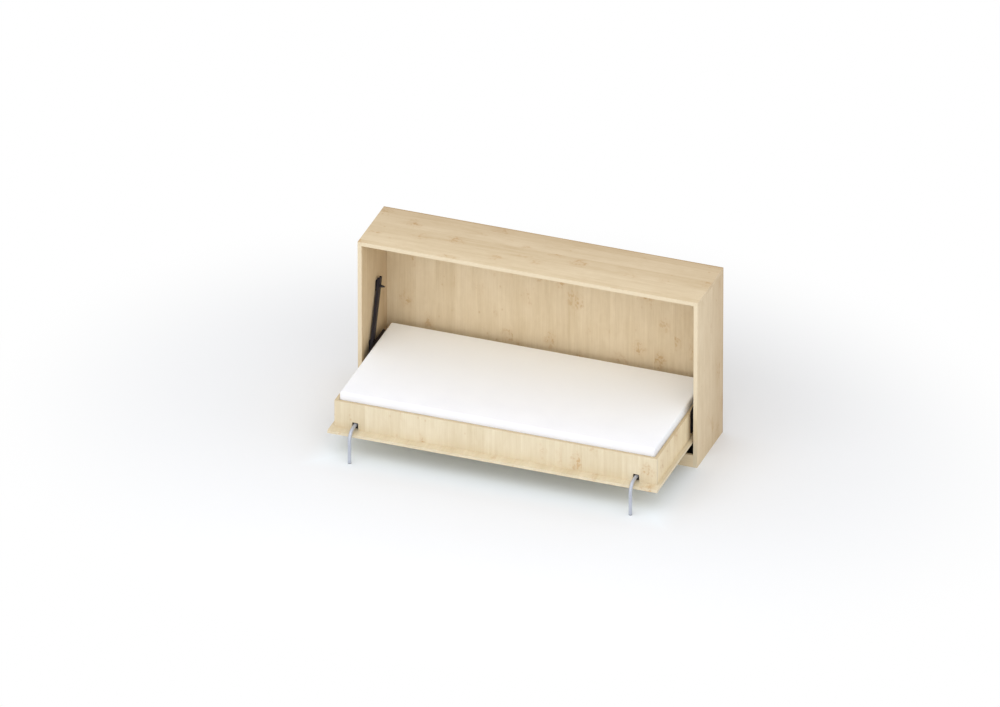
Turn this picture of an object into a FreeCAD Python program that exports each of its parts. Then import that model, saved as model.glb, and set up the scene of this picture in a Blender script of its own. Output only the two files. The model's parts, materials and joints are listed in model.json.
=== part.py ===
import FreeCAD, Part
import math
import os

# Cabinet bed, open: a low wide cabinet, and a single bed that tips down out of it about an axle near the floor.
# Millimetres. +X to the right, +Y to the wall, +Z up. Origin: middle of the footprint of the open bed, on the floor.

V = FreeCAD.Vector
ORIGIN = V(0, 0, 0)
AXIS_X = V(1, 0, 0)
AXIS_Y = V(0, 1, 0)
AXIS_Z = V(0, 0, 1)

# ---------------------------------------------------------------- driving dimensions

# cabinet boards
cabinet_width = 2150.0
cabinet_height = 1130.0
cabinet_depth = 455.0
side_thickness = 25.0
top_thickness = 25.0
plinth_height = 82.0
plinth_thickness = 16.0
back_thickness = 8.0
back_inset = 12.0           # back panel's rear face to the rear edge of the sides
groove_depth = 7.0          # groove for the back panel in the sides and the top
groove_room = 0.5           # left free at the bottom of a groove
rail_thickness = 19.0
wall_rail_height = 100.0
floor_rail_height = 60.0
floor_rail_lift = 22.0      # floor rail's underside above the floor
wall_hole_radius = 3.0
wall_hole_spacing = 600.0
wall_hole_count = 4

# fasteners of the boards
dowel_radius = 4.0
dowel_length = 35.0
dowel_in_face = 12.0        # share of the dowel that sits in the face of the other board
cam_radius = 7.5
cam_depth = 12.5
cam_distance = 34.0         # cam centre below the edge it pulls on
cam_slot_depth = 3.0
cam_slot_width = 2.4
cam_slot_length = 10.0
cam_bolt_radius = 3.5
cam_bolt_in_top = 11.0
dowel_edge = 50.0           # first dowel from the front or rear edge
cam_edge = 100.0            # cams from the front or rear edge

# fold axle: measured from the cabinet's front plane and the floor
pivot_in = 165.0
pivot_height = 322.0
pivot_pin_radius = 8.0
pivot_running_gap = 0.05
bush_wall = 3.0
boss_radius = 16.0
boss_length = 16.0
bush_flange_radius = 15.0
bush_flange_length = 4.5
pin_end_gap = 0.5           # pin's end short of the box board

# stack of fittings between a cabinet side and the bed box, from the side inwards
plate_thickness = 4.0
plate_gap = 4.5
channel_depth = 17.5
bracket_gap = 1.0
bracket_thickness = 4.0

# door (front panel of the closed cabinet)
panel_thickness = 19.0
panel_side_gap = 8.0
panel_top_gap = 3.0
panel_bottom_gap = 16.0

# bed box on the door
board_thickness = 19.0
board_height = 177.0
box_setback = 60.0          # box front to the door's front edge

# slatted base
slat_count = 14
slat_width = 60.0
slat_thickness = 8.0
slat_end_margin = 75.0      # centre of the first slat from the end board
rail_lift = 2.0             # slat rail above the leg guides
slat_rail_height = 20.0
slat_rail_width = 30.0
holder_height = 12.0
holder_side_wall = 3.0
slat_fit = 0.3

# mattress
mattress_thickness = 140.0
mattress_edge_radius = 14.0
mattress_crown = 4.8        # rise of its top in the middle
mattress_end_crown = 0.8    # and at its ends
mattress_crown_steps = 8    # sections along its length
mattress_end_steps = 4      # sections round each end
mattress_side_gap = 3.0
mattress_end_gap = 2.0
mattress_rest_gap = 0.3

# legs
leg_radius = 10.5
leg_wall = 2.0
leg_bend_radius = 60.0
leg_stand_off = 38.0        # leg axis in front of the door's front edge
leg_end_inset = 131.0       # leg axis from the box's end
leg_arm_height = 31.0       # arm axis above the door's inner face
leg_slide_travel = 56.0
leg_foot_thickness = 4.0
leg_plug_length = 20.0
leg_plug_gap = 0.1
leg_running_gap = 0.05
slot_width = 40.0
slot_height = 48.0
slot_corner = 8.0
guide_half_width = 22.0
guide_height = 50.0
guide_end_room = 2.0
block_width = 28.0
block_length = 80.0
block_gap = 0.15
collar_radius = 13.0
collar_length = 9.0
collar_gap = 0.3
collar_front_room = 2.0     # front collar behind the box front board
leg_tail = 2.0              # tube behind its rear collar

# struts: upper pin from the cabinet's front plane and the floor, lower stud from the fold axle
strut_pin_in = 250.0
strut_pin_height = 702.0
stud_forward = 80.0
stud_below = 92.0
strut_pin_radius = 4.0
strut_running_gap = 0.05
strut_bracket_width = 28.0
strut_bracket_height = 76.0
channel_width = 36.0
channel_wall = 2.0
channel_top_front = 52.0    # channel above the pin, at its front edge
channel_top_rear = 57.0     # and at its rear edge
channel_tail = 50.0         # channel beyond the slider's end when the bed is closed
slot_half_width = 6.0
slot_lead = 12.0            # slot above the stud when the bed is closed
spring_radius = 7.0
spring_bore_radius = 6.0
spring_end = 8.0            # closed top end of the cylinder
spring_seal = 10.0
spring_top = 12.0           # cylinder's top below the pin
eye_thickness = 6.0
eye_width = 14.0
piston_length = 12.0
piston_gap = 0.1
piston_room = 4.0
rod_radius = 3.0
rod_gap = 0.1
rod_in_slider = 15.0
slider_room = 6.0           # slider below the cylinder when the bed is closed
slider_gap = 0.4
slider_tail = 15.0          # slider beyond its stud
stud_radius = 5.0
stud_end_gap = 0.5
stud_hole_gap = 0.3
spacer_gap = 0.3
spacer_radius = 8.0
knob_gap = 0.3
knob_radius = 9.0
knob_tip_radius = 3.5
knob_base = 8.0
knob_length = 29.0
pin_in_knob = 15.0

# fold bracket on the bed: reach from the fold axle
bracket_front = 132.0
bracket_rear = 175.0
bracket_up = 58.0
bracket_down = 122.0
bracket_heel = 85.0
bracket_brow = 75.0         # its top edge falls over this length towards the front
bracket_brow_drop = 25.0
bracket_corner = 25.0
bracket_brow_corner = 6.0
bracket_rear_corner = 60.0
bracket_screw_inset = 25.0

# fold plate on the cabinet side
pivot_plate_width = 90.0
pivot_plate_height = 130.0
plate_corner = 12.0
plate_screw_inset = 16.0

# screws: head radius, head height, shank radius, length
plate_screw = (4.5, 2.5, 2.0, 20.0)
bracket_screw = (5.5, 3.5, 2.5, 20.0)
wood_screw = (4.0, 2.0, 1.75, 16.0)
rail_screw = (4.0, 3.0, 2.0, 40.0)
guide_screw = (4.0, 3.0, 1.75, 52.0)

# steel angles under the slats
angle_leg = 30.0
angle_thickness = 2.0
angle_length = 50.0
angle_spacing = 400.0
angle_row_count = 4
angle_end_spread = 300.0

# ---------------------------------------------------------------- derived places

side_inner = cabinet_width / 2 - side_thickness
door_top = cabinet_height - top_thickness - panel_top_gap
door_bottom = plinth_height + panel_bottom_gap
reach = (door_top - pivot_height) - pivot_in + leg_stand_off + leg_radius
front_y = (reach - cabinet_depth) / 2
back_y = front_y + cabinet_depth
pivot_y = front_y + pivot_in
under_top = cabinet_height - top_thickness
back_face_y = back_y - back_inset
back_front_y = back_face_y - back_thickness
back_rail_y0 = back_front_y - rail_thickness

h_channel = plate_thickness + plate_gap
h_channel_end = h_channel + channel_depth
h_bracket = h_channel_end + bracket_gap
h_box = h_bracket + bracket_thickness

# a closed door is turned a quarter turn about the fold axle: its outer face then lies at the floor side
panel_z0 = pivot_height - pivot_in
panel_z1 = panel_z0 + panel_thickness
panel_y0 = pivot_y - (door_top - pivot_height)
panel_y1 = pivot_y + (pivot_height - door_bottom)
panel_half = side_inner - panel_side_gap

box_half = side_inner - h_box
box_y0 = panel_y0 + box_setback
box_y1 = panel_y1
box_z1 = panel_z1 + board_height
in_half = box_half - board_thickness
in_y0 = box_y0 + board_thickness
in_y1 = box_y1 - board_thickness

leg_x = box_half - leg_end_inset
leg_y = panel_y0 - leg_stand_off
arm_z = panel_z1 + leg_arm_height
collar_y0 = in_y0 + collar_front_room
block_y0 = collar_y0 + collar_length + collar_gap
block_y1 = block_y0 + block_length
arm_end_y = block_y1 + collar_gap + collar_length + leg_tail
guide_y1 = block_y1 + leg_slide_travel + guide_end_room

slat_rail_z0 = panel_z1 + guide_height + rail_lift
slat_rail_z1 = slat_rail_z0 + slat_rail_height
holder_z1 = slat_rail_z1 + holder_height

strut_pin_y = front_y + strut_pin_in
stud_y = pivot_y - stud_forward
stud_z = pivot_height - stud_below
strut_lean = math.atan2(strut_pin_y - stud_y, strut_pin_height - stud_z)
strut_open = math.hypot(strut_pin_y - stud_y, strut_pin_height - stud_z)
stud_closed_y = pivot_y - stud_below
stud_closed_z = pivot_height + stud_forward
strut_closed = math.hypot(strut_pin_y - stud_closed_y, strut_pin_height - stud_closed_z)
strut_closed_lean = math.atan2(strut_pin_y - stud_closed_y, strut_pin_height - stud_closed_z)
strut_travel = strut_open - strut_closed

bore_top = spring_top + spring_end
bore_end = bore_top + strut_travel + piston_length + 2 * piston_room
spring_bottom = bore_end + spring_seal
slider_top = spring_bottom + slider_room + strut_travel
slider_end = strut_open + slider_tail
channel_end = strut_closed + slider_tail + channel_tail
h_spring = h_channel + (channel_depth - channel_wall) / 2


# ---------------------------------------------------------------- shapes

def box(x0, x1, y0, y1, z0, z1):
    return Part.makeBox(x1 - x0, y1 - y0, z1 - z0, V(x0, y0, z0))


def rod(radius, start, end):
    along = end - start
    return Part.makeCylinder(radius, along.Length, start, along)


def ring(outer, inner, start, end):
    return rod(outer, start, end).cut(rod(inner, start, end))


def screw(kind, head, direction):
    """A countersunk screw: its head's flat face is centred at head, and it points along direction."""
    head_radius, head_height, shank_radius, length = kind
    cone = Part.makeCone(head_radius, shank_radius, head_height, head, direction)
    shank = Part.makeCylinder(shank_radius, length - head_height, head + direction * head_height, direction)
    return cone.fuse(shank).removeSplitter()


def rounded_face(corners, radii, x):
    """A face in the plane X = x through (y, z) corners, each rounded by its own radius."""
    points = [V(x, y, z) for y, z in corners]
    count = len(points)
    edges = []
    last = None
    first = None
    for i in range(count):
        corner = points[i]
        back = (points[i - 1] - corner).normalize()
        ahead = (points[(i + 1) % count] - corner).normalize()
        half_angle = back.getAngle(ahead) / 2
        start = corner + back * (radii[i] / math.tan(half_angle))
        end = corner + ahead * (radii[i] / math.tan(half_angle))
        bisector = (back + ahead).normalize()
        middle = corner + bisector * (radii[i] / math.sin(half_angle) - radii[i])
        if last is not None:
            edges.append(Part.LineSegment(last, start).toShape())
        else:
            first = start
        edges.append(Part.Arc(start, middle, end).toShape())
        last = end
    edges.append(Part.LineSegment(last, first).toShape())
    return Part.Face(Part.Wire(edges))


def rounded_plate(corners, radii, x0, x1):
    return rounded_face(corners, radii, x0).extrude(V(x1 - x0, 0, 0))


def rectangle(y, z, width, height):
    """Corners of a rectangle centred at (y, z), in order."""
    dy = width / 2
    dz = height / 2
    return [(y - dy, z - dz), (y + dy, z - dz), (y + dy, z + dz), (y - dy, z + dz)]


def mirrored(shape):
    return shape.mirror(ORIGIN, AXIS_X)


def both_sides(shapes):
    return shapes + [mirrored(shape) for shape in shapes]


def cut_all(shape, tools):
    for tool in tools:
        shape = shape.cut(tool)
    return shape


def save(name, *solids):
    shape = solids[0] if len(solids) == 1 else Part.makeCompound(list(solids))
    shape.exportStep("parts/" + name + ".step")


def save_pair(name, left_shape):
    save(name + "_left", left_shape)
    save(name + "_right", mirrored(left_shape))


def from_side(h):
    """X of a place on the left, h millimetres inwards from the cabinet side's inner face."""
    return h - side_inner


# ---------------------------------------------------------------- fasteners of the cabinet boards

def cabinet_dowels():
    """Vertical dowels between the top and each side, and lying ones at the plinth and the rails."""
    dowels = []
    x = -cabinet_width / 2 + side_thickness / 2
    for y in (front_y + dowel_edge, (front_y + back_y) / 2, back_y - dowel_edge):
        foot = V(x, y, under_top + dowel_in_face - dowel_length)
        dowels.append(rod(dowel_radius, foot, V(x, y, under_top + dowel_in_face)))
    x0 = -side_inner - dowel_in_face
    rail_y = back_rail_y0 + rail_thickness / 2
    lying = [
        (front_y + plinth_thickness / 2, plinth_height / 3),
        (front_y + plinth_thickness / 2, plinth_height * 2 / 3),
        (rail_y, under_top - wall_rail_height / 4),
        (rail_y, under_top - wall_rail_height * 3 / 4),
        (rail_y, floor_rail_lift + floor_rail_height / 4),
        (rail_y, floor_rail_lift + floor_rail_height * 3 / 4),
    ]
    for y, z in lying:
        dowels.append(rod(dowel_radius, V(x0, y, z), V(x0 + dowel_length, y, z)))
    return both_sides(dowels)


def cam_places():
    return (front_y + cam_edge, back_y - cam_edge)


def cam_bolts():
    """Bolts screwed up into the top, their lower ends held by the cams in the sides."""
    x = -cabinet_width / 2 + side_thickness / 2
    bolts = []
    for y in cam_places():
        foot = V(x, y, under_top - cam_distance)
        bolts.append(rod(cam_bolt_radius, foot, V(x, y, under_top + cam_bolt_in_top)))
    return both_sides(bolts)


def cam_pockets():
    """Round pockets for the cams in the inner faces of the sides, left side first."""
    z = under_top - cam_distance
    pockets = [rod(cam_radius, V(-side_inner - cam_depth, y, z), V(-side_inner, y, z)) for y in cam_places()]
    return both_sides(pockets)


def cam_discs():
    """Cams that fill their pockets, each with a cross slot for the screwdriver."""
    z = under_top - cam_distance
    slot_x = -side_inner - cam_slot_depth
    half = cam_slot_width / 2
    reach_out = cam_slot_length / 2
    discs = []
    for y in cam_places():
        disc = rod(cam_radius, V(-side_inner - cam_depth, y, z), V(-side_inner, y, z))
        level = box(slot_x, -side_inner, y - reach_out, y + reach_out, z - half, z + half)
        upright = box(slot_x, -side_inner, y - half, y + half, z - reach_out, z + reach_out)
        discs.append(cut_all(disc, [level, upright]))
    return both_sides(discs)


def wall_hole_places():
    start = -wall_hole_spacing * (wall_hole_count - 1) / 2
    return [start + wall_hole_spacing * i for i in range(wall_hole_count)]


def wall_holes():
    z = under_top - wall_rail_height / 2
    return [rod(wall_hole_radius, V(x, back_rail_y0 - 1, z), V(x, back_face_y + 1, z)) for x in wall_hole_places()]


# ---------------------------------------------------------------- fittings of the fold axle, left side

def pivot_plate_screws():
    """Screws at the four corners of the fold plate, heads flush with it."""
    dy = pivot_plate_width / 2 - plate_screw_inset
    dz = pivot_plate_height / 2 - plate_screw_inset
    return [screw(plate_screw, V(from_side(plate_thickness), pivot_y + sy * dy, pivot_height + sz * dz), -AXIS_X)
            for sy in (-1, 1) for sz in (-1, 1)]


def strut_bracket_screws():
    """Screws above and below the strut's pin, heads flush with the bracket."""
    dz = strut_bracket_height / 2 - plate_screw_inset
    return [screw(plate_screw, V(from_side(plate_thickness), strut_pin_y, strut_pin_height + sz * dz), -AXIS_X)
            for sz in (-1, 1)]


def bracket_screws():
    """Screws of the bed's fold bracket, into the end board of the box."""
    inset = bracket_screw_inset
    places = [
        (-bracket_front + inset, -inset),
        (-bracket_heel / 2 + inset / 2, -bracket_down + inset),
        (bracket_rear - bracket_heel - inset, -bracket_down + inset),
        (bracket_rear - inset, -inset / 2),
    ]
    return [screw(bracket_screw, V(from_side(h_bracket), pivot_y + y, pivot_height + z), AXIS_X)
            for y, z in places]


def bed_bracket():
    """Steel plate on the end board, with the bearing boss of the fold axle and the strut's stud hole."""
    y0 = pivot_y - bracket_front
    y1 = pivot_y + bracket_rear
    z0 = pivot_height - bracket_down
    z1 = pivot_height + bracket_up
    corners = [
        (y0, z0),
        (y1 - bracket_heel, z0),
        (y1, z0 + bracket_heel),
        (y1, z1),
        (y0 + bracket_brow, z1),
        (y0, z1 - bracket_brow_drop),
    ]
    radii = [bracket_corner] * 3 + [bracket_rear_corner, bracket_corner, bracket_brow_corner]
    plate = rounded_plate(corners, radii, from_side(h_bracket), from_side(h_box))
    boss_start = V(from_side(h_bracket - boss_length), pivot_y, pivot_height)
    boss = rod(boss_radius, boss_start, V(from_side(h_bracket), pivot_y, pivot_height))
    bore = rod(pivot_pin_radius + pivot_running_gap + bush_wall, boss_start,
               V(from_side(h_box), pivot_y, pivot_height))
    stud_hole = rod(stud_radius + stud_hole_gap, V(from_side(h_bracket), stud_y, stud_z),
                    V(from_side(h_box), stud_y, stud_z))
    return cut_all(plate.fuse(boss).removeSplitter(), [bore, stud_hole] + bracket_screws())


def pivot_bush():
    """Flanged plastic bush in the boss."""
    boss_h = h_bracket - boss_length
    start = V(from_side(boss_h - bush_flange_length), pivot_y, pivot_height)
    boss_face = V(from_side(boss_h), pivot_y, pivot_height)
    end = V(from_side(h_box), pivot_y, pivot_height)
    bore_radius = pivot_pin_radius + pivot_running_gap
    flange = rod(bush_flange_radius, start, boss_face)
    sleeve = rod(bore_radius + bush_wall, boss_face, end)
    return flange.fuse(sleeve).removeSplitter().cut(rod(bore_radius, start, end))


def pivot_pin():
    start = V(from_side(0), pivot_y, pivot_height)
    return rod(pivot_pin_radius, start, V(from_side(h_box - pin_end_gap), pivot_y, pivot_height))


def pivot_plate():
    corners = rectangle(pivot_y, pivot_height, pivot_plate_width, pivot_plate_height)
    plate = rounded_plate(corners, [plate_corner] * 4, from_side(0), from_side(plate_thickness))
    return cut_all(plate, [pivot_pin()] + pivot_plate_screws())


# ---------------------------------------------------------------- strut, left side

def place_strut(shape):
    """Leans a strut piece, built hanging straight down from its pin at y = z = 0, and puts it on its pin."""
    leaned = shape.copy()
    leaned.rotate(ORIGIN, AXIS_X, -math.degrees(strut_lean))
    leaned.translate(V(0, strut_pin_y, strut_pin_height))
    return leaned


def at_strut(h, down, y=0.0):
    """A point of the hanging strut: h inwards from the cabinet side, down from the pin."""
    return V(from_side(h), y, -down)


def strut_channel():
    """Channel, open towards the cabinet side, its top end cut at a slant, with a slot for the stud."""
    half = channel_width / 2
    tall = max(channel_top_front, channel_top_rear)
    outer = box(from_side(h_channel), from_side(h_channel_end), -half, half, -channel_end, tall)
    web = h_channel_end - channel_wall
    inner = box(from_side(h_channel), from_side(web), channel_wall - half, half - channel_wall, -channel_end, tall)
    slant = Part.Face(Part.makePolygon([
        V(from_side(h_channel), -half, channel_top_front),
        V(from_side(h_channel), half, channel_top_rear),
        V(from_side(h_channel), half, 2 * tall),
        V(from_side(h_channel), -half, 2 * tall),
        V(from_side(h_channel), -half, channel_top_front),
    ])).extrude(V(channel_depth, 0, 0))
    slot = box(from_side(web), from_side(h_channel_end), -slot_half_width, slot_half_width,
               -channel_end, -(strut_closed - slot_lead))
    pin_hole = rod(strut_pin_radius + strut_running_gap, at_strut(web, 0), at_strut(h_channel_end, 0))
    return cut_all(outer, [inner, slant, slot, pin_hole])


def gas_cylinder():
    """Cylinder of the traction gas spring: an eye on the pin, a hollow barrel and a seal at its lower end."""
    barrel = rod(spring_radius, at_strut(h_spring, spring_top), at_strut(h_spring, spring_bottom))
    eye_h = h_spring - eye_thickness / 2
    half = eye_width / 2
    tongue = box(from_side(eye_h), from_side(eye_h + eye_thickness), -half, half, -spring_top, 0)
    head = rod(half, at_strut(eye_h, 0), at_strut(eye_h + eye_thickness, 0))
    bore = rod(spring_bore_radius, at_strut(h_spring, bore_top), at_strut(h_spring, bore_end))
    seal_hole = rod(rod_radius + rod_gap, at_strut(h_spring, bore_end), at_strut(h_spring, spring_bottom))
    eye_hole = rod(strut_pin_radius + strut_running_gap, at_strut(eye_h, 0), at_strut(eye_h + eye_thickness, 0))
    return cut_all(barrel.fuse(tongue).fuse(head).removeSplitter(), [bore, seal_hole, eye_hole])


def gas_rod():
    """Rod with its piston. The piston is at the seal end while the bed is open."""
    piston_bottom = bore_end - piston_room
    piston = rod(spring_bore_radius - piston_gap, at_strut(h_spring, piston_bottom - piston_length),
                 at_strut(h_spring, piston_bottom))
    shaft = rod(rod_radius, at_strut(h_spring, piston_bottom), at_strut(h_spring, slider_top + rod_in_slider))
    return piston.fuse(shaft).removeSplitter()


def strut_stud():
    start = at_strut(h_channel + slider_gap, strut_open)
    return rod(stud_radius, start, at_strut(h_bracket - stud_end_gap, strut_open))


def strut_slider():
    """Bar that slides in the channel and carries the stud."""
    half = channel_width / 2 - channel_wall - slider_gap
    h0 = h_channel + slider_gap
    h1 = h_channel_end - channel_wall - slider_gap
    bar = box(from_side(h0), from_side(h1), -half, half, -slider_end, -slider_top)
    rod_hole = rod(rod_radius, at_strut(h_spring, slider_top), at_strut(h_spring, slider_top + rod_in_slider))
    return cut_all(bar, [rod_hole, strut_stud()])


def strut_pin():
    """Fixed pin in the upper bracket, through the spring's eye and the channel, into the knob."""
    start = V(from_side(0), strut_pin_y, strut_pin_height)
    return rod(strut_pin_radius, start,
               V(from_side(h_channel_end + knob_gap + pin_in_knob), strut_pin_y, strut_pin_height))


def strut_spacers():
    """Rings on the pin, one each side of the spring's eye."""
    eye_h = h_spring - eye_thickness / 2
    spans = [
        (plate_thickness, eye_h - spacer_gap),
        (eye_h + eye_thickness + spacer_gap, h_channel_end - channel_wall - spacer_gap),
    ]
    return [ring(spacer_radius, strut_pin_radius, V(from_side(h0), strut_pin_y, strut_pin_height),
                 V(from_side(h1), strut_pin_y, strut_pin_height)) for h0, h1 in spans]


def strut_knob():
    """Tapered knob on the end of the pin."""
    h0 = h_channel_end + knob_gap
    start = V(from_side(h0), strut_pin_y, strut_pin_height)
    shoulder = V(from_side(h0 + knob_base), strut_pin_y, strut_pin_height)
    base = rod(knob_radius, start, shoulder)
    taper = Part.makeCone(knob_radius, knob_tip_radius, knob_length - knob_base, shoulder, AXIS_X)
    return base.fuse(taper).removeSplitter().cut(strut_pin())


def strut_bracket():
    corners = rectangle(strut_pin_y, strut_pin_height, strut_bracket_width, strut_bracket_height)
    plate = rounded_plate(corners, [plate_corner] * 4, from_side(0), from_side(plate_thickness))
    return cut_all(plate, [strut_pin()] + strut_bracket_screws())


# ---------------------------------------------------------------- legs, left side

def tube_run(radius, room):
    """Solid of one radius along the leg's line: the arm, the bend and the upright, room short of each end."""
    x = -leg_x
    bend_y = leg_y + leg_bend_radius
    bend_z = arm_z - leg_bend_radius
    arm = rod(radius, V(x, arm_end_y + room, arm_z), V(x, bend_y, arm_z))
    section = Part.Face(Part.Wire(Part.makeCircle(radius, V(x, bend_y, arm_z), AXIS_Y)))
    bend = section.revolve(V(x, bend_y, bend_z), AXIS_X, 90)
    upright = rod(radius, V(x, leg_y, bend_z), V(x, leg_y, leg_foot_thickness - room))
    return arm.fuse(bend).fuse(upright).removeSplitter()


def leg_tube():
    overshoot = 1.0
    return tube_run(leg_radius, 0).cut(tube_run(leg_radius - leg_wall, overshoot))


def leg_foot():
    """Plastic plug in the tube's lower end, with a rim as wide as the tube."""
    rim = rod(leg_radius, V(-leg_x, leg_y, 0), V(-leg_x, leg_y, leg_foot_thickness))
    plug = rod(leg_radius - leg_wall - leg_plug_gap, V(-leg_x, leg_y, leg_foot_thickness),
               V(-leg_x, leg_y, leg_foot_thickness + leg_plug_length))
    return rim.fuse(plug).removeSplitter()


def leg_collars():
    """Two collars on the arm, one each side of the slide block."""
    starts = (collar_y0, block_y1 + collar_gap)
    return [ring(collar_radius, leg_radius, V(-leg_x, y, arm_z), V(-leg_x, y + collar_length, arm_z))
            for y in starts]


def leg_slide_block():
    half = block_width / 2
    block = box(-leg_x - half, -leg_x + half, block_y0, block_y1, arm_z - half, arm_z + half)
    bore = rod(leg_radius + leg_running_gap, V(-leg_x, block_y0, arm_z), V(-leg_x, block_y1, arm_z))
    return block.cut(bore)


def guide_screws():
    """Screws through the corners of a guide into the door."""
    side = (guide_half_width + block_width / 2 + block_gap) / 2
    screws = []
    for dx in (-side, side):
        for y in (in_y0 + (guide_y1 - in_y0) / 6, guide_y1 - (guide_y1 - in_y0) / 6):
            screws.append(screw(guide_screw, V(-leg_x + dx, y, panel_z1 + guide_height), -AXIS_Z))
    return screws


def leg_guide():
    """Plastic guide on the door's inner face, with a square hole for the slide block."""
    half = block_width / 2 + block_gap
    guide = box(-leg_x - guide_half_width, -leg_x + guide_half_width, in_y0, guide_y1,
                panel_z1, panel_z1 + guide_height)
    hole = box(-leg_x - half, -leg_x + half, in_y0, guide_y1, arm_z - half, arm_z + half)
    return cut_all(guide, [hole] + guide_screws())


def leg_slot():
    """Slot at the lower edge of the box front board, with rounded upper corners."""
    z1 = panel_z1 + slot_height
    x0 = -leg_x - slot_width / 2
    slot = box(x0, x0 + slot_width, box_y0, in_y0, panel_z1, z1)
    upper_edges = [edge for edge in slot.Edges
                   if abs(edge.CenterOfMass.z - z1) < 0.01 and abs(edge.CenterOfMass.x + leg_x) > 1]
    return slot.makeFillet(slot_corner, upper_edges)


# ---------------------------------------------------------------- bed box and slatted base

def box_dowels():
    """Lying dowels that join the end boards to the front and rear boards."""
    x = -box_half + board_thickness / 2
    dowels = []
    for i in range(3):
        z = panel_z1 + board_height * (2 * i + 1) / 6
        front_start = in_y0 - dowel_in_face
        rear_start = in_y1 + dowel_in_face
        dowels.append(rod(dowel_radius, V(x, front_start, z), V(x, front_start + dowel_length, z)))
        dowels.append(rod(dowel_radius, V(x, rear_start, z), V(x, rear_start - dowel_length, z)))
    return both_sides(dowels)


def angle_places():
    """Corner point and turn about Z of each steel angle."""
    places = []
    for i in range(angle_row_count):
        x = angle_spacing * (i - (angle_row_count - 1) / 2)
        places.append((x, in_y0, 0))
        places.append((x, in_y1, 180))
    middle = (in_y0 + in_y1) / 2
    for y in (middle - angle_end_spread / 2, middle + angle_end_spread / 2):
        places.append((-in_half, y, -90))
        places.append((in_half, y, 90))
    return places


def placed(shape, place):
    x, y, turn = place
    turned = shape.copy()
    turned.rotate(ORIGIN, AXIS_Z, turn)
    turned.translate(V(x, y, panel_z1))
    return turned


def angle_screw_shapes():
    """The two screws of one angle: down into the door, and level into the board."""
    middle = angle_thickness + (angle_leg - angle_thickness) / 2
    down = screw(wood_screw, V(0, middle, angle_thickness), -AXIS_Z)
    level = screw(wood_screw, V(0, angle_thickness, middle), -AXIS_Y)
    return [down, level]


def angle_shape():
    half = angle_length / 2
    base = box(-half, half, 0, angle_leg, 0, angle_thickness)
    upright = box(-half, half, 0, angle_thickness, 0, angle_leg)
    return cut_all(base.fuse(upright).removeSplitter(), angle_screw_shapes())


def slat_places():
    first = -in_half + slat_end_margin
    pitch = (2 * in_half - 2 * slat_end_margin) / (slat_count - 1)
    return [first + pitch * i for i in range(slat_count)]


def slat_rail_screws():
    """Level screws through the slat rails into the front and rear boards, between the slats."""
    xs = slat_places()
    gaps = [(xs[i] + xs[i + 1]) / 2 for i in range(0, slat_count - 1, 3)]
    z = (slat_rail_z0 + slat_rail_z1) / 2
    front = [screw(rail_screw, V(x, in_y0 + slat_rail_width, z), -AXIS_Y) for x in gaps]
    rear = [screw(rail_screw, V(x, in_y1 - slat_rail_width, z), AXIS_Y) for x in gaps]
    return front, rear


def slat_holders():
    """Plastic holders on the rails. Each has a pocket that takes a slat's end."""
    holders = []
    pocket_half = slat_width / 2 + slat_fit
    outer_half = pocket_half + holder_side_wall
    middle = slat_rail_z1 + holder_height / 2
    pocket_z = slat_thickness / 2 + slat_fit
    for x in slat_places():
        for wall_y, open_y in ((in_y0, in_y0 + slat_rail_width), (in_y1, in_y1 - slat_rail_width)):
            inward = 1 if open_y > wall_y else -1
            low, high = sorted((wall_y, open_y))
            body = box(x - outer_half, x + outer_half, low, high, slat_rail_z1, holder_z1)
            low, high = sorted((wall_y + inward * holder_side_wall, open_y))
            pocket = box(x - pocket_half, x + pocket_half, low, high, middle - pocket_z, middle + pocket_z)
            holders.append(body.cut(pocket))
    return holders


def slats():
    middle = slat_rail_z1 + holder_height / 2
    end = holder_side_wall + slat_fit
    return [box(x - slat_width / 2, x + slat_width / 2, in_y0 + end, in_y1 - end,
                middle - slat_thickness / 2, middle + slat_thickness / 2) for x in slat_places()]


# ---------------------------------------------------------------- mattress

def mattress_section(x, inset, crown):
    """A rounded rectangle in the plane X = x, smaller by inset all round, its top raised by crown."""
    r = mattress_edge_radius
    y0 = in_y0 + mattress_side_gap + inset
    y1 = in_y1 - mattress_side_gap - inset
    z0 = holder_z1 + mattress_rest_gap + inset
    z1 = holder_z1 + mattress_rest_gap + mattress_thickness - inset
    bulge = r * (1 - math.sqrt(0.5))
    edges = [
        Part.LineSegment(V(x, y0 + r, z0), V(x, y1 - r, z0)),
        Part.Arc(V(x, y1 - r, z0), V(x, y1 - bulge, z0 + bulge), V(x, y1, z0 + r)),
        Part.LineSegment(V(x, y1, z0 + r), V(x, y1, z1 - r)),
        Part.Arc(V(x, y1, z1 - r), V(x, y1 - bulge, z1 - bulge), V(x, y1 - r, z1)),
        Part.Arc(V(x, y1 - r, z1), V(x, (y0 + y1) / 2, z1 + crown), V(x, y0 + r, z1)),
        Part.Arc(V(x, y0 + r, z1), V(x, y0 + bulge, z1 - bulge), V(x, y0, z1 - r)),
        Part.LineSegment(V(x, y0, z1 - r), V(x, y0, z0 + r)),
        Part.Arc(V(x, y0, z0 + r), V(x, y0 + bulge, z0 + bulge), V(x, y0 + r, z0)),
    ]
    return Part.Wire([edge.toShape() for edge in edges])


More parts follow.
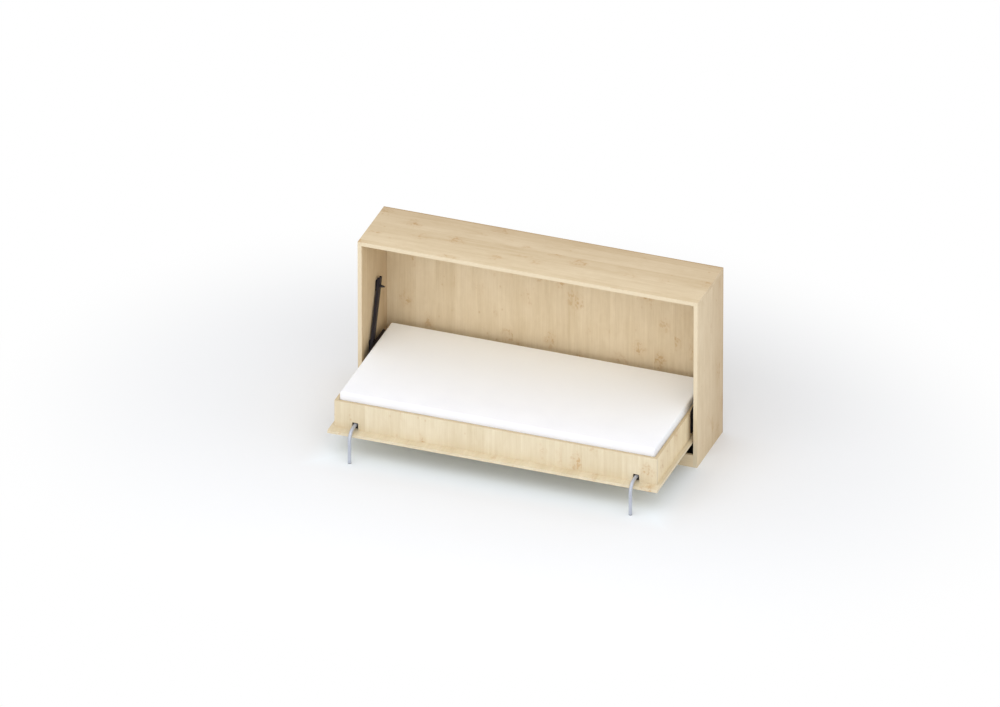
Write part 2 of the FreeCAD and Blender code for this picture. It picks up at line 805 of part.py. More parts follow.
def mattress():
    """Foam mattress: its ends round off, and its top is slightly crowned."""
    half = in_half - mattress_end_gap
    r = mattress_edge_radius
    stations = []
    for i in range(mattress_end_steps):
        angle = math.pi / 2 * i / mattress_end_steps
        stations.append((half - r * (1 - math.cos(angle)), r * (1 - math.sin(angle))))
    flat = half - r
    for i in range(mattress_crown_steps + 1):
        stations.append((flat * (1 - 2 * i / mattress_crown_steps), 0.0))
    stations += [(-x, inset) for x, inset in reversed(stations[:mattress_end_steps])]
    wires = []
    for x, inset in stations:
        rise = mattress_end_crown + (mattress_crown - mattress_end_crown) * (1 - (x / half) ** 2)
        wires.append(mattress_section(x, inset, rise))
    return Part.makeLoft(wires, True, True)


# ---------------------------------------------------------------- build

os.makedirs("parts", exist_ok=True)

dowels = cabinet_dowels()
bolts = cam_bolts()
cams = cam_discs()
plate_screws = both_sides(pivot_plate_screws())
upper_screws = both_sides(strut_bracket_screws())

# the back panel fills its grooves but for a little room
groove_in = groove_depth - groove_room
back_panel = box(-side_inner - groove_in, side_inner + groove_in, back_front_y, back_face_y,
                 floor_rail_lift, under_top + groove_in)
groove = box(-side_inner - groove_depth, side_inner + groove_depth, back_front_y, back_face_y,
             floor_rail_lift, under_top + groove_depth)

side = box(-cabinet_width / 2, -side_inner, front_y, back_y, 0, under_top)
side_cuts = [groove] + dowels + bolts + cam_pockets() + plate_screws + upper_screws
side_left = cut_all(side, side_cuts)
top = box(-cabinet_width / 2, cabinet_width / 2, front_y, back_y, under_top, cabinet_height)
plinth = box(-side_inner, side_inner, front_y, front_y + plinth_thickness, 0, plinth_height)
wall_rail = box(-side_inner, side_inner, back_rail_y0, back_front_y, under_top - wall_rail_height, under_top)
floor_rail = box(-side_inner, side_inner, back_rail_y0, back_front_y, floor_rail_lift,
                 floor_rail_lift + floor_rail_height)
save_pair("cabinet_side", side_left)
save("cabinet_top", cut_all(top, [groove] + dowels + bolts))
save("cabinet_plinth", cut_all(plinth, dowels))
save("back_panel", cut_all(back_panel, wall_holes()))
save("wall_rail", cut_all(wall_rail, dowels + wall_holes()))
save("floor_rail", cut_all(floor_rail, dowels))
save("cabinet_dowels", *dowels)
save("cam_bolts", *[cut_all(bolt, cams) for bolt in bolts])
save("cam_discs", *cams)

save_pair("pivot_plate", pivot_plate())
save("pivot_plate_screws", *plate_screws)
save("pivot_pins", *both_sides([pivot_pin()]))
save_pair("strut_bracket", strut_bracket())
save("strut_bracket_screws", *upper_screws)
save("strut_pins", *both_sides([strut_pin()]))
save("strut_spacers", *both_sides(strut_spacers()))
save_pair("strut_knob", strut_knob())

save_pair("strut_channel", place_strut(strut_channel()))
save_pair("gas_cylinder", place_strut(gas_cylinder()))
save_pair("gas_rod", place_strut(gas_rod()))
save_pair("strut_slider", place_strut(strut_slider()))
save_pair("strut_stud", place_strut(strut_stud()))

angle_screws = [placed(shape, place) for place in angle_places() for shape in angle_screw_shapes()]
front_rail_screws, rear_rail_screws = slat_rail_screws()
tray_screws = both_sides(bracket_screws())
leg_screws = both_sides(guide_screws())
tray_dowels = box_dowels()

panel = box(-panel_half, panel_half, panel_y0, panel_y1, panel_z0, panel_z1)
save("front_panel", cut_all(panel, angle_screws + leg_screws))
front_board = box(-box_half, box_half, box_y0, in_y0, panel_z1, box_z1)
save("box_front_board", cut_all(front_board, both_sides([leg_slot()]) + tray_dowels + angle_screws
                                + front_rail_screws))
rear_board = box(-box_half, box_half, in_y1, box_y1, panel_z1, box_z1)
save("box_rear_board", cut_all(rear_board, tray_dowels + angle_screws + rear_rail_screws))
end_board = box(-box_half, -in_half, in_y0, in_y1, panel_z1, box_z1)
end_cuts = tray_dowels + angle_screws + tray_screws
save("box_head_board", cut_all(end_board, end_cuts))
save("box_foot_board", cut_all(mirrored(end_board), end_cuts))
save("box_dowels", *tray_dowels)
save("panel_angles", *[placed(angle_shape(), place) for place in angle_places()])
save("panel_angle_screws", *angle_screws)

front_rail = box(-in_half, in_half, in_y0, in_y0 + slat_rail_width, slat_rail_z0, slat_rail_z1)
rear_rail = box(-in_half, in_half, in_y1 - slat_rail_width, in_y1, slat_rail_z0, slat_rail_z1)
save("slat_rail_front", cut_all(front_rail, front_rail_screws))
save("slat_rail_rear", cut_all(rear_rail, rear_rail_screws))
save("slat_rail_screws", *(front_rail_screws + rear_rail_screws))
save("slat_holders", *slat_holders())
save("slats", *slats())
save("mattress", mattress())

save_pair("bed_bracket", bed_bracket())
save("bed_bracket_screws", *tray_screws)
save("pivot_bushes", *both_sides([pivot_bush()]))

save("leg_guides", *both_sides([leg_guide()]))
save("leg_guide_screws", *leg_screws)
save_pair("leg_slide_block", leg_slide_block())
save_pair("leg_tube", leg_tube())
save_pair("leg_foot", leg_foot())
save("leg_collars_left", *leg_collars())
save("leg_collars_right", *[mirrored(collar) for collar in leg_collars()])

print("fold axle y %.2f z %.2f" % (pivot_y, pivot_height))
print("strut open %.2f closed %.2f travel %.2f" % (strut_open, strut_closed, strut_travel))
print("strut lean open %.3f closed %.3f degrees" % (math.degrees(strut_lean), math.degrees(strut_closed_lean)))
print("strut pin y %.2f, leg axis x %.2f z %.2f" % (strut_pin_y, leg_x, arm_z))
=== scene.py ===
import json
import math

import bpy
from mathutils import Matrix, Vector


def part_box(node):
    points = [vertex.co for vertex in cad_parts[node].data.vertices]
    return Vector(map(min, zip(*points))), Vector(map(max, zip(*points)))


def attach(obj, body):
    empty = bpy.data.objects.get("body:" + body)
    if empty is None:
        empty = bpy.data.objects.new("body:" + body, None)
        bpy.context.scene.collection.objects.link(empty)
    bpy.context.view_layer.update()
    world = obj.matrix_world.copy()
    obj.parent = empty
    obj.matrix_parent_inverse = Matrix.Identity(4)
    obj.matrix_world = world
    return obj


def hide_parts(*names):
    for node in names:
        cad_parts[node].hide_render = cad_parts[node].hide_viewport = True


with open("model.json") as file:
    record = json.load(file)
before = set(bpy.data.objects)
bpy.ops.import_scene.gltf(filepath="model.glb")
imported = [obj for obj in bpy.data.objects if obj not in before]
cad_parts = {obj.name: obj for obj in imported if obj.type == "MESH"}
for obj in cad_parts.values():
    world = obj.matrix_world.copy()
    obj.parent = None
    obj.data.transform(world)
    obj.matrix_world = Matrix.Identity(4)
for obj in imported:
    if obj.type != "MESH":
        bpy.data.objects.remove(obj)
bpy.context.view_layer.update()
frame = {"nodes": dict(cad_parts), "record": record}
NODES = frame["nodes"]

# ---------------------------------------------------------------- named values, metres

VIEW_TURN = math.radians(20)
VIEW_TILT = math.radians(30)
VIEW_TARGET = Vector((-0.1726, 0.10425, 0.5403))
VIEW_WIDTH = 5.953
LENS = 1000.0
SENSOR = 36.0
CLIP_NEAR = 1.0
CLIP_FAR = 2000.0

FLOOR_HALF = 80.0
FLOOR_NEAR = (0.825, 0.835, 0.855, 1)
FLOOR_UNDER = (0.89, 0.95, 1.0, 1)         # painted cooler tint under the bed, which cancels the warm light that the boards throw there
UNDER_X = 0.95
UNDER_Y = (-0.45, 0.1)
UNDER_SOFT = 0.25
FLOOR_PAINTED_SHADOW = (0.03, 0.027, 0.025, 1)      # painted shadow on the floor in the closed-off space behind the plinth
PAINTED_SHADOW_X = 1.045
PAINTED_SHADOW_Y = (0.13, 0.52)
PAINTED_SHADOW_SOFT = 0.02
WHITE = (1.0, 1.0, 1.0, 1)
FADE_START = 1.3        # from here outwards the floor turns into the plain white of the backdrop
FADE_END = 2.7
FADE_FLAT = (0.8, 1, 1)     # the white starts further out along X, as the cabinet is long that way
AMBIENT_STRENGTH = 0.92
LIT_POINT = Vector((0, 0.1, 0.65))      # the middle of the cabinet's front, where the lamps aim


def linear(r, g, b):
    """A colour given as it shows on a screen, 0 to 255, as Blender wants it."""
    parts = []
    for value in (r, g, b):
        value /= 255
        parts.append(value / 12.92 if value <= 0.04045 else ((value + 0.055) / 1.055) ** 2.4)
    return (*parts, 1)


# ---------------------------------------------------------------- node helpers

class Shader:
    """One material's node tree, with short calls for the nodes that the materials share."""

    def __init__(self, name):
        self.material = bpy.data.materials.new(name)
        self.material.use_nodes = True
        self.nodes = self.material.node_tree.nodes
        self.links = self.material.node_tree.links
        self.surface = self.nodes["Principled BSDF"]
        self.output = self.nodes["Material Output"]
        coordinates = self.nodes.new("ShaderNodeTexCoord")
        self.place = coordinates.outputs["Object"]
        self.normal = coordinates.outputs["Normal"]

    def put(self, socket, value):
        if isinstance(value, bpy.types.NodeSocket):
            self.links.new(value, socket)
        else:
            socket.default_value = value

    def set(self, **values):
        for name, value in values.items():
            self.put(self.surface.inputs[name.replace("_", " ")], value)

    def scaled(self, scale, offset=(0, 0, 0), source=None):
        node = self.nodes.new("ShaderNodeMapping")
        self.put(node.inputs["Vector"], source or self.place)
        node.inputs["Scale"].default_value = scale
        node.inputs["Location"].default_value = offset
        return node.outputs["Vector"]

    def noise(self, vector, scale, detail=2.0, roughness=0.5, distortion=0.0, colour=False):
        node = self.nodes.new("ShaderNodeTexNoise")
        self.put(node.inputs["Vector"], vector)
        node.inputs["Scale"].default_value = scale
        node.inputs["Detail"].default_value = detail
        node.inputs["Roughness"].default_value = roughness
        node.inputs["Distortion"].default_value = distortion
        return node.outputs["Color" if colour else "Fac"]

    def cells(self, vector, scale, dimensions="3D", randomness=1.0):
        """Voronoi cells: their distance and their random colour."""
        node = self.nodes.new("ShaderNodeTexVoronoi")
        node.voronoi_dimensions = dimensions
        self.put(node.inputs["W" if dimensions == "1D" else "Vector"], vector)
        node.inputs["Scale"].default_value = scale
        node.inputs["Randomness"].default_value = randomness
        return node.outputs["Distance"], node.outputs["Color"]

    def math(self, kind, a, b=0.0, clamp=False):
        node = self.nodes.new("ShaderNodeMath")
        node.operation = kind
        node.use_clamp = clamp
        self.put(node.inputs[0], a)
        self.put(node.inputs[1], b)
        return node.outputs[0]

    def vector_math(self, kind, a, b):
        node = self.nodes.new("ShaderNodeVectorMath")
        node.operation = kind
        self.put(node.inputs[0], a)
        if kind == "SCALE":
            self.put(node.inputs["Scale"], b)
        else:
            self.put(node.inputs[1], b)
        return node.outputs[0]

    def axis(self, vector, name):
        node = self.nodes.new("ShaderNodeSeparateXYZ")
        self.put(node.inputs[0], vector)
        return node.outputs[name]

    def span(self, value, low, high, to_low=0.0, to_high=1.0, smooth=False):
        node = self.nodes.new("ShaderNodeMapRange")
        node.interpolation_type = "SMOOTHSTEP" if smooth else "LINEAR"
        self.put(node.inputs["Value"], value)
        node.inputs["From Min"].default_value = low
        node.inputs["From Max"].default_value = high
        node.inputs["To Min"].default_value = to_low
        node.inputs["To Max"].default_value = to_high
        return node.outputs["Result"]

    def mix(self, share, a, b, kind="MIX"):
        node = self.nodes.new("ShaderNodeMix")
        node.data_type = "RGBA"
        node.blend_type = kind
        node.clamp_factor = True
        self.put(node.inputs[0], share)
        self.put(node.inputs[6], a)
        self.put(node.inputs[7], b)
        return node.outputs[2]

    def bump(self, height, distance, strength):
        node = self.nodes.new("ShaderNodeBump")
        self.put(node.inputs["Height"], height)
        node.inputs["Distance"].default_value = distance
        node.inputs["Strength"].default_value = strength
        self.put(self.surface.inputs["Normal"], node.outputs["Normal"])


# ---------------------------------------------------------------- materials

CABINET_TONES = (linear(227, 210, 180), linear(202, 180, 143))
BED_TONES = (linear(226, 215, 190), linear(202, 185, 152))
# painted light: a lighter copy of the bed boards' tones for the box's end boards, which the lamps light
# less
END_LIT_TONES = (linear(238, 223, 190), linear(214, 192, 153))
MAPLE_BAND = linear(216, 203, 177)
MAPLE_KNOT = linear(188, 150, 100)
CORE_BAND = linear(192, 171, 135)
PLANK_WIDTH = 0.125
# painted shade: colour multiplier for the cabinet boards towards their rear; REAR_LINE darkens a narrow
# line at the rear edge
REAR_PAINTED_SHADE = (0.82, 0.775, 0.725, 1)
REAR_LINE = (0.80, 0.70, 0.58, 1)
CLOTH_TONES = (linear(246, 247, 251), linear(242, 243, 248))
CLOTH_LOOP = linear(214, 216, 221)
CLOTH_REAR = linear(253, 255, 255)          # painted cooler white at the cover's far end, which cancels the warm light that the boards throw there
CLOTH_DEPTH = (-0.4, 0.3)
CLOTH_UPRIGHT_SHADE = (0.93, 0.93, 0.93, 1)       # painted shade: share of the tone that the cover's upright faces keep


def maple(name, grain, across, seed, tones=CABINET_TONES, band_axis=None, band=MAPLE_BAND, rear=None):
    """Maple board with its grain along one axis and its planks side by side along another.

    Faces that look along band_axis have the plain tone of an edge band. A board with rear, its front and
    rear Y, gets painted shade that deepens towards its rear, the side that stands at the wall, and a narrow
    darker line just in front of its rear edge."""
    s = Shader(name)
    offset = (seed * 1.37, seed * 2.11, seed * 0.83)

    def drawn_out(length):
        return tuple(length if axis == grain else 1.0 for axis in "XYZ")

    # planks, each with its own tone, and the figure moved along from one plank to the next
    wander = s.noise(s.scaled(drawn_out(0.3), offset), 4.0, 1.0)
    bent = s.math("ADD", s.axis(s.place, across), s.math("MULTIPLY", wander, 0.008))
    _, plank_colour = s.cells(s.math("ADD", bent, seed * 0.617), 1 / PLANK_WIDTH, "1D", 0.7)
    plank_tone = s.axis(plank_colour, "X")
    place = s.vector_math("ADD", s.place, s.vector_math("SCALE", plank_colour, 1.7))

    cloud = s.noise(s.scaled(drawn_out(0.4), offset, place), 7.0, 3.0, 0.55)
    streak = s.noise(s.scaled(drawn_out(0.035), offset, place), 34.0, 3.0, 0.6)
    fibre = s.noise(s.scaled(drawn_out(0.03), offset, place), 160.0, 2.0, 0.6)
    figure = s.noise(s.scaled(drawn_out(0.5), offset, place), 24.0, 3.0, 0.6, 0.8)
    tone = s.math("MULTIPLY", s.span(plank_tone, 0, 1, -0.5, 0.5), 0.26)
    for layer, share in ((cloud, 0.30), (streak, 0.30), (fibre, 0.22), (figure, 0.18)):
        tone = s.math("ADD", tone, s.math("MULTIPLY", s.span(layer, 0.3, 0.7, -0.5, 0.5), share))
    colour = s.mix(s.math("ADD", tone, 0.46, clamp=True), *tones)

    # clusters of small soft knots in some places, and single pips between them
    short = s.scaled(drawn_out(0.75), offset, place)
    warp = s.vector_math("SCALE", s.noise(short, 26.0, 2.0, colour=True), 0.05)
    cluster_at = s.vector_math("ADD", short, warp)
    cluster_far, cluster_cell = s.cells(cluster_at, 7.0)
    chosen = s.span(s.axis(cluster_cell, "X"), 0.40, 0.44)
    halo = s.math("MULTIPLY", s.span(cluster_far, 0.04, 0.46, 1, 0, smooth=True), chosen)
    spots = s.span(s.noise(cluster_at, 44.0, 2.0, 0.55), 0.49, 0.62, smooth=True)
    colour = s.mix(s.math("MULTIPLY", halo, 0.18), colour, MAPLE_KNOT)
    colour = s.mix(s.math("MULTIPLY", s.math("MULTIPLY", halo, spots), 0.68), colour, MAPLE_KNOT)
    pip_far, pip_cell = s.cells(s.scaled(drawn_out(0.7), offset, place), 27.0)
    pip = s.math("MULTIPLY", s.span(pip_far, 0.05, 0.24, 1, 0, smooth=True),
                 s.span(s.axis(pip_cell, "Y"), 0.90, 0.92))
    colour = s.mix(s.math("MULTIPLY", pip, 0.40), colour, MAPLE_KNOT)

    if band_axis:
        facing = s.math("ABSOLUTE", s.axis(s.normal, band_axis))
        colour = s.mix(s.math("MULTIPLY", s.span(facing, 0.85, 0.95), 0.75), colour, band)
    # painted shade that deepens towards the board's rear, then a narrow darker line just in front of the
    # rear edge
    if rear:
        depth = s.axis(s.place, "Y")
        colour = s.mix(s.span(depth, rear[0], rear[1]), colour, s.mix(1.0, colour, REAR_PAINTED_SHADE, "MULTIPLY"))
        line = s.span(depth, rear[1] - 0.012, rear[1] - 0.005, smooth=True)
        colour = s.mix(line, colour, s.mix(1.0, colour, REAR_LINE, "MULTIPLY"))

    s.set(Base_Color=colour, Roughness=s.span(fibre, 0.2, 0.8, 0.46, 0.58), Specular_IOR_Level=0.3)
    s.bump(s.math("ADD", s.math("MULTIPLY", fibre, 0.6), s.math("MULTIPLY", streak, 0.4)), 0.0002, 0.5)
    return s.material


def beech():
    """Plain bonded beech of the slats and rails."""
    s = Shader("beech_ply")
    grain = s.noise(s.scaled((1, 0.05, 1)), 90.0, 3.0, 0.6)
    cloud = s.noise(s.place, 4.0, 2.0)
    tone = s.math("ADD", s.math("MULTIPLY", grain, 0.6), s.math("MULTIPLY", cloud, 0.4))
    s.set(Base_Color=s.mix(s.span(tone, 0.35, 0.65), linear(226, 194, 152), linear(200, 160, 116)),
          Roughness=0.5)
    s.bump(grain, 0.0002, 0.5)
    return s.material


def dark_steel():
    """Black powder coat with a fine orange-peel skin."""
    s = Shader("powder_black")
    peel = s.noise(s.place, 900.0, 2.0, 0.5)
    worn = s.noise(s.place, 14.0, 3.0, 0.6)
    s.set(Base_Color=s.mix(s.span(worn, 0.35, 0.7), linear(24, 18, 26), linear(33, 26, 36)),
          Roughness=s.span(peel, 0.3, 0.7, 0.46, 0.58), Specular_IOR_Level=0.35)
    s.bump(peel, 0.00012, 0.5)
    return s.material


def black_plastic():
    s = Shader("plastic_black")
    skin = s.noise(s.place, 1400.0, 2.0, 0.6)
    s.set(Base_Color=s.mix(s.span(skin, 0.3, 0.7), linear(26, 24, 27), linear(36, 33, 37)),
          Roughness=s.span(skin, 0.3, 0.7, 0.5, 0.62))
    s.bump(skin, 0.00015, 0.6)
    return s.material


def grey_plastic():
    s = Shader("plastic_grey")
    skin = s.noise(s.place, 1200.0, 2.0, 0.6)
    s.set(Base_Color=s.mix(s.span(skin, 0.3, 0.7), linear(96, 98, 104), linear(112, 114, 120)),
          Roughness=0.55)
    s.bump(skin, 0.00015, 0.6)
    return s.material


def zinc():
    """Bright zinc with the faint blotches of its bath."""
    s = Shader("zinc_bright")
    _, blotch = s.cells(s.place, 220.0)
    cloud = s.noise(s.place, 40.0, 3.0)
    s.set(Base_Color=s.mix(s.axis(blotch, "X"), linear(196, 198, 202), linear(214, 216, 220)), Metallic=1.0,
          Roughness=s.span(cloud, 0.3, 0.7, 0.26, 0.42))
    return s.material


def chromed():
    s = Shader("chrome_rod")
    rub = s.noise(s.scaled((1, 1, 0.1)), 500.0, 2.0)
    s.set(Base_Color=linear(222, 224, 228), Metallic=1.0, Roughness=s.span(rub, 0.3, 0.7, 0.08, 0.18))
    return s.material


def silver():
    """Silver-grey lacquer of the legs, with a fine metallic flake."""
    s = Shader("silver_lacquer")
    _, flake = s.cells(s.place, 2600.0)
    cloud = s.noise(s.place, 30.0, 2.0)
    base = s.mix(s.axis(flake, "X"), linear(168, 173, 186), linear(186, 191, 203))
    s.set(Base_Color=s.mix(s.span(cloud, 0.3, 0.7, 0.0, 0.35), base, linear(198, 204, 216)),
          Metallic=0.35, Roughness=s.span(cloud, 0.3, 0.7, 0.34, 0.42), Coat_Weight=0.3)
    s.bump(s.noise(s.place, 700.0, 1.0), 0.00008, 0.4)
    return s.material


def cover_cloth():
    """White jersey cover: fine ribs one way, loops the other."""
    s = Shader("white_jersey")
    rib = s.nodes.new("ShaderNodeTexWave")
    s.put(rib.inputs["Vector"], s.place)
    rib.bands_direction = "X"
    rib.inputs["Scale"].default_value = 210.0
    rib.inputs["Distortion"].default_value = 1.2
    loop = s.nodes.new("ShaderNodeTexWave")
    s.put(loop.inputs["Vector"], s.place)
    loop.bands_direction = "Y"
    loop.inputs["Scale"].default_value = 150.0
    loop.inputs["Distortion"].default_value = 1.2
    weave = s.math("MULTIPLY", rib.outputs["Fac"], loop.outputs["Fac"])
    cloud = s.noise(s.place, 5.0, 3.0, 0.5)
    base = s.mix(s.span(cloud, 0.3, 0.7), *CLOTH_TONES)
    # painted cooler white towards the cover's far end, against the boards' warm light
    base = s.mix(s.span(s.axis(s.place, "Y"), *CLOTH_DEPTH), base, CLOTH_REAR)
    # painted shade: the cover's upright faces are a little darker than its top
    upright = s.span(s.math("ABSOLUTE", s.axis(s.normal, "Z")), 0.3, 0.8, 1, 0)
    base = s.mix(upright, base, s.mix(1.0, base, CLOTH_UPRIGHT_SHADE, "MULTIPLY"))
    s.set(Base_Color=s.mix(s.span(weave, 0.0, 1.0, 0.08, 0.0), base, CLOTH_LOOP), Roughness=0.9,
          Specular_IOR_Level=0.25, Sheen_Weight=0.15, Sheen_Roughness=0.5)
    s.bump(s.math("ADD", weave, s.math("MULTIPLY", cloud, 0.5)), 0.0004, 0.5)
    return s.material


# ---------------------------------------------------------------- finishes of the CAD nodes

side_low, side_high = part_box("cabinet_side_right")
DEPTH = (side_low[1], side_high[1])
FINISH = {
    "cabinet_side_left": maple("maple_side_left", "Z", "Y", 1, band_axis="Y", rear=DEPTH),
    "cabinet_side_right": maple("maple_side_right", "Z", "Y", 2, band_axis="Y", rear=DEPTH),
    "cabinet_top": maple("maple_top", "X", "Y", 3, band_axis="Y", rear=DEPTH),
    "cabinet_plinth": maple("maple_plinth", "X", "Z", 4),
    "back_panel": maple("maple_back", "Z", "X", 5),
    "wall_rail": maple("maple_wall_rail", "X", "Z", 6),
    "floor_rail": maple("maple_floor_rail", "X", "Z", 7),
    "front_panel": maple("maple_door", "Y", "X", 8, BED_TONES),
    "box_front_board": maple("maple_box_front", "Z", "X", 9, BED_TONES, "Z", CORE_BAND),
    "box_rear_board": maple("maple_box_rear", "Z", "X", 10, BED_TONES, "Z", CORE_BAND),
    "box_head_board": maple("maple_box_head", "Z", "Y", 11, END_LIT_TONES, "Z", CORE_BAND),
    "box_foot_board": maple("maple_box_foot", "Z", "Y", 12, END_LIT_TONES, "Z", CORE_BAND),
}
BY_SLOT = {
    "maple_board": FINISH["box_rear_board"],
    "beech": beech(),
    "zinc_steel": zinc(),
    "black_steel": dark_steel(),
    "chromed_rod": chromed(),
    "black_plastic": black_plastic(),
    "silver_paint": silver(),
    "grey_plastic": grey_plastic(),
    "mattress_cover": cover_cloth(),
}
for part in frame["record"]["subparts"]:
    finish = FINISH.get(part["node"], BY_SLOT[part["material_slot"]])
    materials = NODES[part["node"]].data.materials
    for i in range(len(materials)):
        materials[i] = finish

# ---------------------------------------------------------------- mattress

EDGE = 0.014
LOW_IN = Vector((0.0015, 0.0015, 0.002))    # the cloth starts this much inside the solid,
HIGH_IN = Vector((0.0015, 0.0015, 0.0045))  # and pressure swells it
SWELL_MOST = 0.0045
GRID = 0.022
EDGE_STEPS = 3
SWELL_FRAMES = 20
PRESSURE = 0.05
STIFFNESS = 25
BENDING = 2.0
CLOTH_MASS = 0.4


def ladder(low, high):
    """Places along one side: fine steps round each edge, even ones between."""
    places = [low + EDGE * i / EDGE_STEPS for i in range(EDGE_STEPS)]
    count = max(2, round((high - low - 2 * EDGE) / GRID))
    places += [low + EDGE + (high - low - 2 * EDGE) * i / count for i in range(count + 1)]
    places += [high - EDGE + EDGE * (i + 1) / EDGE_STEPS for i in range(EDGE_STEPS)]
    return places


def rounded_block(low, high):
    """Quad mesh of a box with rounded edges and corners, as vertices and faces."""
    steps = [ladder(low[a], high[a]) for a in range(3)]
    index = {}
    points = []
    faces = []

    def corner(i, j, k):
        key = (i, j, k)
        if key not in index:
            raw = Vector((steps[0][i], steps[1][j], steps[2][k]))
            core = Vector([min(max(raw[a], low[a] + EDGE), high[a] - EDGE) for a in range(3)])
            out = raw - core
            if out.length > 1e-9:
                out = out.normalized() * EDGE
            index[key] = len(points)
            points.append(core + out)
        return index[key]

    last = [len(line) - 1 for line in steps]
    for axis in range(3):
        u, v = [a for a in range(3) if a != axis]
        for end in (0, last[axis]):
            for i in range(last[u]):
                for j in range(last[v]):
                    quad = []
                    for du, dv in ((0, 0), (1, 0), (1, 1), (0, 1)):
                        key = [0, 0, 0]
                        key[axis] = end
                        key[u] = i + du
                        key[v] = j + dv
                        quad.append(corner(*key))
                    outwards = (end == 0) == (axis == 1)
                    faces.append(quad if outwards else quad[::-1])
    return points, faces


def swell(piece, low, high):
    """Let pressure swell the cloth for a moment, and keep a share of it that stays inside low and high."""
    mesh = piece.data
    cloth = piece.modifiers.new("Cloth", "CLOTH")
    settings = cloth.settings
    settings.quality = 5
    settings.mass = CLOTH_MASS
    settings.tension_stiffness = STIFFNESS
    settings.compression_stiffness = STIFFNESS
    settings.bending_stiffness = BENDING
    settings.use_pressure = True
    settings.uniform_pressure_force = PRESSURE
    settings.effector_weights.gravity = 0
    cloth.point_cache.frame_start = 1
    cloth.point_cache.frame_end = SWELL_FRAMES
    for moment in range(1, SWELL_FRAMES + 1):
        bpy.context.scene.frame_set(moment)
    swollen = piece.evaluated_get(bpy.context.evaluated_depsgraph_get())
    moves = [after.co - before.co for after, before in zip(swollen.data.vertices, mesh.vertices)]
    piece.modifiers.clear()
    bpy.context.scene.frame_set(1)
    share = min(1.0, SWELL_MOST / max(move.length for move in moves))
    for vertex, move in zip(mesh.vertices, moves):
        place = vertex.co + move * share
        vertex.co = Vector([min(max(place[a], low[a]), high[a]) for a in range(3)])


def mattress():
    """The mattress's white cover, a block with soft edges that fills the place of the solid."""
    low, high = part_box("mattress")
    points, faces = rounded_block(low + LOW_IN, high - HIGH_IN)
    mesh = bpy.data.meshes.new("mattress_cover")
    mesh.from_pydata(points, [], faces)
    mesh.update()
    piece = bpy.data.objects.new("mattress_cover", mesh)
    bpy.context.scene.collection.objects.link(piece)

    swell(piece, low, high)
    mesh.polygons.foreach_set("use_smooth", [True] * len(mesh.polygons))
    smooth = piece.modifiers.new("Smooth", "SUBSURF")
    smooth.levels = 1
    smooth.render_levels = 1
    mesh.materials.append(BY_SLOT["mattress_cover"])
    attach(piece, "bed")
    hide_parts("mattress")


mattress()

# ---------------------------------------------------------------- floor, light and camera


def floor_finish():
    """Pale floor: a painted shadow behind the plinth, a painted cooler tint under the bed that cancels the
    boards' warm light, and plain white further out.
    """
    s = Shader("pale_floor")
    x = s.math("ABSOLUTE", s.axis(s.place, "X"))
    y = s.axis(s.place, "Y")
    # painted shadow: the floor inside the cabinet's footprint, behind the plinth, turns nearly black
    shadow_across = s.span(x, PAINTED_SHADOW_X - PAINTED_SHADOW_SOFT, PAINTED_SHADOW_X, 1, 0)
    shadow_front = s.span(y, PAINTED_SHADOW_Y[0], PAINTED_SHADOW_Y[0] + PAINTED_SHADOW_SOFT)
    shadow_rear = s.span(y, PAINTED_SHADOW_Y[1] - PAINTED_SHADOW_SOFT, PAINTED_SHADOW_Y[1], 1, 0)
    painted_shadow = s.math("MULTIPLY", shadow_across, s.math("MULTIPLY", shadow_front, shadow_rear))
    # painted cooler tint under the bed, against the warm light that the boards throw on the floor
    past_x = s.math("SUBTRACT", x, UNDER_X)
    from_middle = s.math("ABSOLUTE", s.math("SUBTRACT", y, sum(UNDER_Y) / 2))
    past_y = s.math("SUBTRACT", from_middle, (UNDER_Y[1] - UNDER_Y[0]) / 2)
    under = s.span(s.math("MAXIMUM", past_x, past_y), 0.0, UNDER_SOFT, 1, 0, smooth=True)
    tone = s.mix(painted_shadow, s.mix(under, FLOOR_NEAR, FLOOR_UNDER), FLOOR_PAINTED_SHADOW)
    s.set(Base_Color=tone, Roughness=0.9, Specular_IOR_Level=0.1)

    far = s.nodes.new("ShaderNodeVectorMath")
    far.operation = "LENGTH"
    s.put(far.inputs[0], s.scaled(FADE_FLAT))
    glow = s.nodes.new("ShaderNodeEmission")
    glow.inputs["Color"].default_value = WHITE
    fade = s.nodes.new("ShaderNodeMixShader")
    s.put(fade.inputs["Fac"], s.span(far.outputs["Value"], FADE_START, FADE_END, smooth=True))
    s.put(fade.inputs[1], s.surface.outputs[0])
    s.put(fade.inputs[2], glow.outputs[0])
    s.put(s.output.inputs["Surface"], fade.outputs[0])
    return s.material


def lay_floor():
    mesh = bpy.data.meshes.new("floor")
    corners = [(x * FLOOR_HALF, y * FLOOR_HALF, 0) for x, y in ((-1, -1), (1, -1), (1, 1), (-1, 1))]
    mesh.from_pydata(corners, [], [(0, 1, 2, 3)])
    mesh.materials.append(floor_finish())
    floor = bpy.data.objects.new("floor", mesh)
    bpy.context.scene.collection.objects.link(floor)


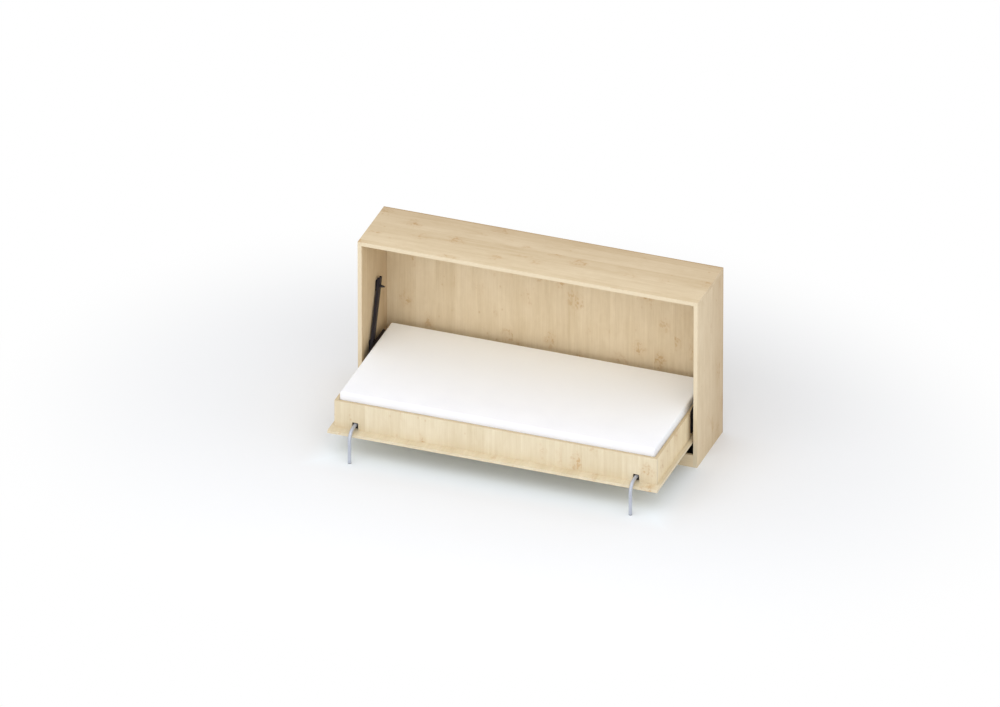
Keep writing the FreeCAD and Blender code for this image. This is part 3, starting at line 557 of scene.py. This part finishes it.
def studio_world():
    """Soft light from all round, in front of a plain white backdrop."""
    world = bpy.data.worlds.new("studio")
    bpy.context.scene.world = world
    world.use_nodes = True
    tree = world.node_tree
    tree.nodes.clear()
    ambient = tree.nodes.new("ShaderNodeBackground")
    ambient.inputs["Color"].default_value = WHITE
    ambient.inputs["Strength"].default_value = AMBIENT_STRENGTH
    seen = tree.nodes.new("ShaderNodeBackground")
    seen.inputs["Color"].default_value = WHITE
    path = tree.nodes.new("ShaderNodeLightPath")
    choose = tree.nodes.new("ShaderNodeMixShader")
    out = tree.nodes.new("ShaderNodeOutputWorld")
    tree.links.new(path.outputs["Is Camera Ray"], choose.inputs["Fac"])
    tree.links.new(ambient.outputs[0], choose.inputs[1])
    tree.links.new(seen.outputs[0], choose.inputs[2])
    tree.links.new(choose.outputs[0], out.inputs["Surface"])


def softbox(name, power, width, height, place):
    """Large soft lamp, aimed at the middle of the cabinet's front."""
    data = bpy.data.lights.new(name, "AREA")
    data.shape = "RECTANGLE"
    data.size = width
    data.size_y = height
    data.energy = power
    lamp = bpy.data.objects.new(name, data)
    lamp.location = place
    lamp.rotation_mode = "QUATERNION"
    lamp.rotation_quaternion = (LIT_POINT - Vector(place)).to_track_quat("-Z", "Y")
    lamp.visible_camera = False
    bpy.context.scene.collection.objects.link(lamp)


def photo_camera():
    """Camera so far away, with so long a lens, that parallel edges stay parallel as in the photograph."""
    back = Vector((math.sin(VIEW_TURN) * math.cos(VIEW_TILT), -math.cos(VIEW_TURN) * math.cos(VIEW_TILT),
                   math.sin(VIEW_TILT)))
    data = bpy.data.cameras.new("camera")
    data.sensor_width = SENSOR
    data.lens = LENS
    data.clip_start = CLIP_NEAR
    data.clip_end = CLIP_FAR
    camera = bpy.data.objects.new("camera", data)
    bpy.context.scene.collection.objects.link(camera)
    camera.rotation_mode = "QUATERNION"
    camera.location = VIEW_TARGET + back * (VIEW_WIDTH * LENS / SENSOR)
    camera.rotation_quaternion = (-back).to_track_quat("-Z", "Y")
    bpy.context.scene.camera = camera


lay_floor()
studio_world()
softbox("softbox_high", 56, 6.0, 2.4, (0, -2.6, 4.0))
softbox("softbox_front", 37, 6.0, 2.4, (0, -4.5, 1.6))
softbox("softbox_right", 6, 2.4, 2.4, (4.0, -1.5, 2.6))
photo_camera()
bpy.context.scene.view_settings.view_transform = "Standard"

bpy.context.view_layer.update()
